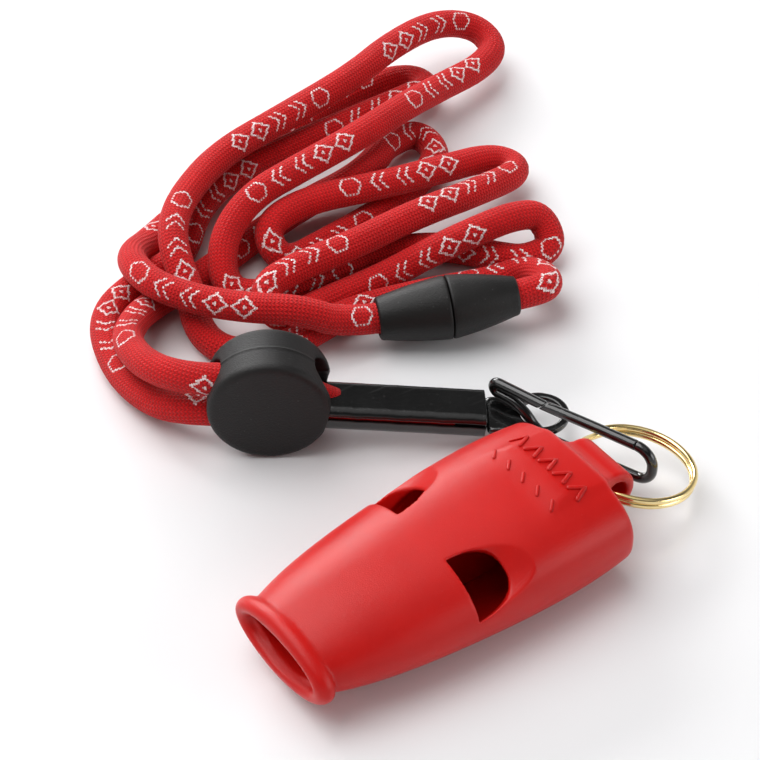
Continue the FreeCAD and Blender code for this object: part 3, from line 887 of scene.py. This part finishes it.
def round_box(half_width, half_height, corner, count):
    """Points round a rounded rectangle, from its left side's slit all the way back to it."""
    line = []
    for sx, sz, first in ((-1, 1, 180), (1, 1, 90), (1, -1, 0), (-1, -1, -90)):
        for t in np.linspace(0, 1, 14):
            a = math.radians(first - 90 * t)
            line.append((sx * (half_width - corner) + corner * math.cos(a),
                         sz * (half_height - corner) + corner * math.sin(a)))
    line = np.array(line + line[:1])
    even, _ = even_points(line, (2 * (2 * half_width + 2 * half_height)) / count)
    return even


def make_sleeve():
    """A rolled sheet sleeve whose edges meet in a thin slit along the front."""
    outer = round_box(SLEEVE_HALF_WIDTH, SLEEVE_HALF_HEIGHT, 1.3, 110)
    start = int(np.argmin(np.hypot(outer[:, 0] + SLEEVE_HALF_WIDTH, outer[:, 1] - SLIT_Z)))
    outer = np.roll(outer[:-1], -start, axis=0)
    outer = outer[1:-1]
    ahead = np.gradient(outer, axis=0)
    ahead /= np.linalg.norm(ahead, axis=1)[:, None]
    inner = outer + SHEET * np.stack([ahead[:, 1], -ahead[:, 0]], 1)
    loop = np.vstack([outer, inner[::-1]])
    n, half = len(loop), len(outer)
    stations = np.r_[0, np.linspace(0.15, SLEEVE_LENGTH - 0.15, 60), SLEEVE_LENGTH]
    points = []
    for x in stations:
        wave = 1 + 0.006 * math.sin(x * 1.1) + 0.005 * math.sin(x * 2.3 + 1)
        points += [(x, y * (2 - wave), z * wave) for y, z in loop]
    faces = [(i * n + k, (i + 1) * n + k, (i + 1) * n + (k + 1) % n, i * n + (k + 1) % n)
             for i in range(len(stations) - 1) for k in range(n)]
    last = (len(stations) - 1) * n
    for k in range(half - 1):
        faces.append((k, k + 1, n - 2 - k, n - 1 - k))
        faces.append((last + k, last + n - 1 - k, last + n - 2 - k, last + k + 1))
    points = turned(points, SLEEVE_AT, LEAD_TURN, SLEEVE_DROP)
    sleeve = mesh_piece("crimp_sleeve", points, faces, sleeve_black)
    facing_out(sleeve)
    softened(sleeve, 0.09)
    settle(sleeve, "lanyard", "black_sleeve", "ferrule")


def eyelet_solid(x, y, z):
    """The eyelet from its hole's middle: X away from the sleeve."""
    ring = np.hypot(x, y)
    plate = soft_or(ring - TAB_R, soft_and(np.abs(y) - 3.25, soft_and(x, -7.2 - x, 0.3), 0.8), 1.2)
    plate = soft_and(plate, np.abs(z - 3.1) - 0.5, 0.45)
    return soft_cut(plate, ring - TAB_HOLE_R, 0.35)


def make_eyelet():
    reach = SLEEVE_LENGTH * math.cos(math.radians(SLEEVE_DROP)) + TAB_REACH
    centre = np.array(SLEEVE_AT) + turned([(reach, 0, 0)], (0, 0, 0), LEAD_TURN)[0]
    points, faces = skin(eyelet_solid, (-7.8, -4.4, 2.2), (4.4, 4.4, 4.0), 0.12)
    points = turned(points, (centre[0], centre[1], 0), LEAD_TURN)
    shank_start = SLEEVE_LENGTH - 4.0
    root, root_faces = skin(lambda x, y, z: soft_and(np.maximum(oval(y, z, 2.72, 1.22, 4.0), shank_start - x),
                                                     x - SLEEVE_LENGTH - 0.2, 0.3),
                            (shank_start - 0.4, -3.2, -1.6), (SLEEVE_LENGTH + 0.9, 3.2, 1.6), 0.15)
    root = turned(root, SLEEVE_AT, LEAD_TURN, SLEEVE_DROP)
    faces = [tuple(f) for f in faces] + [tuple(i + len(points) for i in f) for f in root_faces]
    eyelet = mesh_piece("eyelet_plate", np.vstack([points, root]), faces, sleeve_black)
    settle(eyelet, "lanyard", "black_sleeve", "eyelet_tab")


make_sleeve()
make_eyelet()

# ---------------------------------------------------------------- slider

SLIDER_AT = (-0.5, 35.6, 8.0)
SLIDER_R = 8.0
SLIDER_HALF = 4.0
BORE_R = 2.3
BORE_LEVEL = 2.7
RECESS_R = 3.5


def slider_solid(x, y, z):
    """The slider from its middle: X toward the sleeve, Y through the disc, Z up."""
    radius = np.hypot(x, z)
    disc = soft_and(radius - SLIDER_R, np.abs(y) - SLIDER_HALF, 1.1)
    parting_bead = np.maximum(np.hypot(radius - SLIDER_R, y) - 0.12, -6.5 - z)
    disc = soft_or(disc, parting_bead, 0.15)
    gate_mark = np.maximum(np.hypot(x + 1.5, y - 1.2) - 0.75, 8.1 - z)
    disc = soft_or(disc, np.maximum(gate_mark, radius - 8.12), 0.15)
    for level in (-BORE_LEVEL, BORE_LEVEL):
        disc = soft_cut(disc, np.hypot(y, z - level) - BORE_R, 0.5)
    slot = np.hypot(y, z - np.clip(z, -BORE_LEVEL, BORE_LEVEL)) - BORE_R
    disc = soft_cut(disc, np.maximum(slot, 1.5 - x), 0.4)
    recess = np.hypot(y, z - np.clip(z, -2.2, -1.2)) - RECESS_R
    return soft_cut(disc, np.maximum(recess, 5.6 - x), 0.4)


def make_slider():
    points, faces = skin(slider_solid, (-8.8, -4.6, -8.8), (8.8, 4.6, 8.8), 0.2)
    slider = mesh_piece("slider_disc", turned(points, SLIDER_AT, LEAD_TURN), faces, slider_black)
    settle(slider, "slider", "slider_plastic", "cord_slider")


make_slider()

# ---------------------------------------------------------------- clasp

CLASP_AT = (21.6, 41.8, 4.6)
CLASP_END = (39.0, 33.4, 5.6)
CLASP_SEAM = 9.7


def taper(x0, r0, x1, r1, belly, count=14):
    """Outline points of a slightly barrelled taper."""
    t = np.linspace(0, 1, count)
    return [(x0 + (x1 - x0) * s, r0 + (r1 - r0) * s + belly * 4 * s * (1 - s)) for s in t]


def make_clasp():
    axis = np.array(CLASP_END) - np.array(CLASP_AT)
    length = float(np.linalg.norm(axis))
    heading = math.degrees(math.atan2(axis[1], axis[0]))
    drop = -math.degrees(math.asin(axis[2] / length))
    seam = CLASP_SEAM
    socket = [(0.0, 2.2), (0.0, 2.65), (0.1, 2.85), (0.35, 3.0)]
    socket += taper(0.8, 3.06, seam - 0.35, 4.38, 0.16)
    socket += [(seam - 0.12, 4.36), (seam, 4.22), (seam, 1.65), (3.9, 1.65), (3.9, 2.2)]
    plug = [(length, 2.25), (length, 2.4), (length - 0.12, 2.62), (length - 0.4, 2.74)]
    plug += taper(length - 0.8, 2.8, seam + 0.5, 4.38, 0.18)
    plug += [(seam + 0.27, 4.36), (seam + 0.15, 4.22), (seam + 0.15, 1.5), (4.6, 1.5), (4.3, 1.2), (4.3, 0.0),
             (length - 4.0, 0.0), (length - 4.0, 2.25)]
    halves = []
    for name, outline, body, node in (("clasp_socket_shell", socket, "lanyard", "clasp_socket"),
                                      ("clasp_plug_shell", plug, "plug", "clasp_plug")):
        points, faces = lathe(outline)
        half = mesh_piece(name, turned(points, CLASP_AT, heading, drop), faces, clasp_black)
        facing_out(half)
        halves.append(settle(half, body, "clasp_plastic", node))
    return halves


clasp_socket, clasp_plug = make_clasp()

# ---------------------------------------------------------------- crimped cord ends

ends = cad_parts["crimped_cord_ends"]
ends.data.materials.clear()
ends.data.materials.append(cord_red)

# ---------------------------------------------------------------- table, light and camera


def make_table():
    material, _, shader, _ = new_material("pale_gloss_table")
    shader.inputs["Base Color"].default_value = (0.80, 0.80, 0.81, 1)
    shader.inputs["Roughness"].default_value = 0.22
    shader.inputs["Specular IOR Level"].default_value = 0.45
    corners = [(-900, -900, 0), (900, -900, 0), (900, 900, 0), (-900, 900, 0)]
    table = mesh_piece("table", corners, [(0, 1, 2, 3)], material, smooth=False)


def soft_light(name, at, toward, size, watts, colour=(1, 1, 1)):
    light = bpy.data.lights.new(name, "AREA")
    light.shape = "RECTANGLE"
    light.size, light.size_y = size
    light.energy = watts
    light.color = colour
    lamp = bpy.data.objects.new(name, light)
    bpy.context.scene.collection.objects.link(lamp)
    lamp.location = at
    lamp.rotation_euler = (Vector(toward) - Vector(at)).to_track_quat("-Z", "Y").to_euler()


def make_studio():
    """A bright low horizon, a dark band over it and soft boxes behind and overhead."""
    world = bpy.data.worlds.new("studio")
    world.use_nodes = True
    tree = world.node_tree
    sky = tree.nodes["Background"]
    where = tree.nodes.new("ShaderNodeTexCoord")
    split = tree.nodes.new("ShaderNodeSeparateXYZ")
    band = tree.nodes.new("ShaderNodeValToRGB")
    tree.links.new(where.outputs["Generated"], split.inputs[0])
    tree.links.new(split.outputs[2], band.inputs[0])
    tree.links.new(band.outputs[0], sky.inputs["Color"])
    ramp_points = band.color_ramp.elements
    ramp_points[0].position, ramp_points[0].color = 0.0, (1, 1, 1, 1)
    ramp_points[1].position, ramp_points[1].color = 1.0, (1, 1, 1, 1)
    for place, level in ((0.28, 0.9), (0.48, 0.22), (0.74, 0.10), (0.90, 0.8)):
        ramp_points.new(place).color = (level, level, level, 1)
    sky.inputs["Strength"].default_value = 0.75
    bpy.context.scene.world = world
    bpy.context.scene.view_settings.view_transform = "Standard"
    middle = (0.02, 0.035, 0.0)
    soft_light("back_softbox", (0.14, 0.66, 0.30), middle, (0.5, 0.16), 3.2)
    soft_light("overhead_left", (-0.20, 0.34, 0.70), middle, (0.8, 0.8), 6.4)
    soft_light("front_right_card", (0.35, -0.42, 0.22), middle, (0.35, 0.25), 0.8)


def make_camera():
    camera = bpy.data.cameras.new("view")
    camera.lens = 120
    camera.sensor_width = 36
    camera.clip_start = 0.01
    holder = bpy.data.objects.new("view", camera)
    bpy.context.scene.collection.objects.link(holder)
    holder.location = (-0.1317, -0.1630, 0.2319)
    target = Vector((0.01758, 0.03588, 0))
    holder.rotation_euler = (target - holder.location).to_track_quat("-Z", "Y").to_euler()
    bpy.context.scene.camera = holder


make_table()
make_studio()
make_camera()
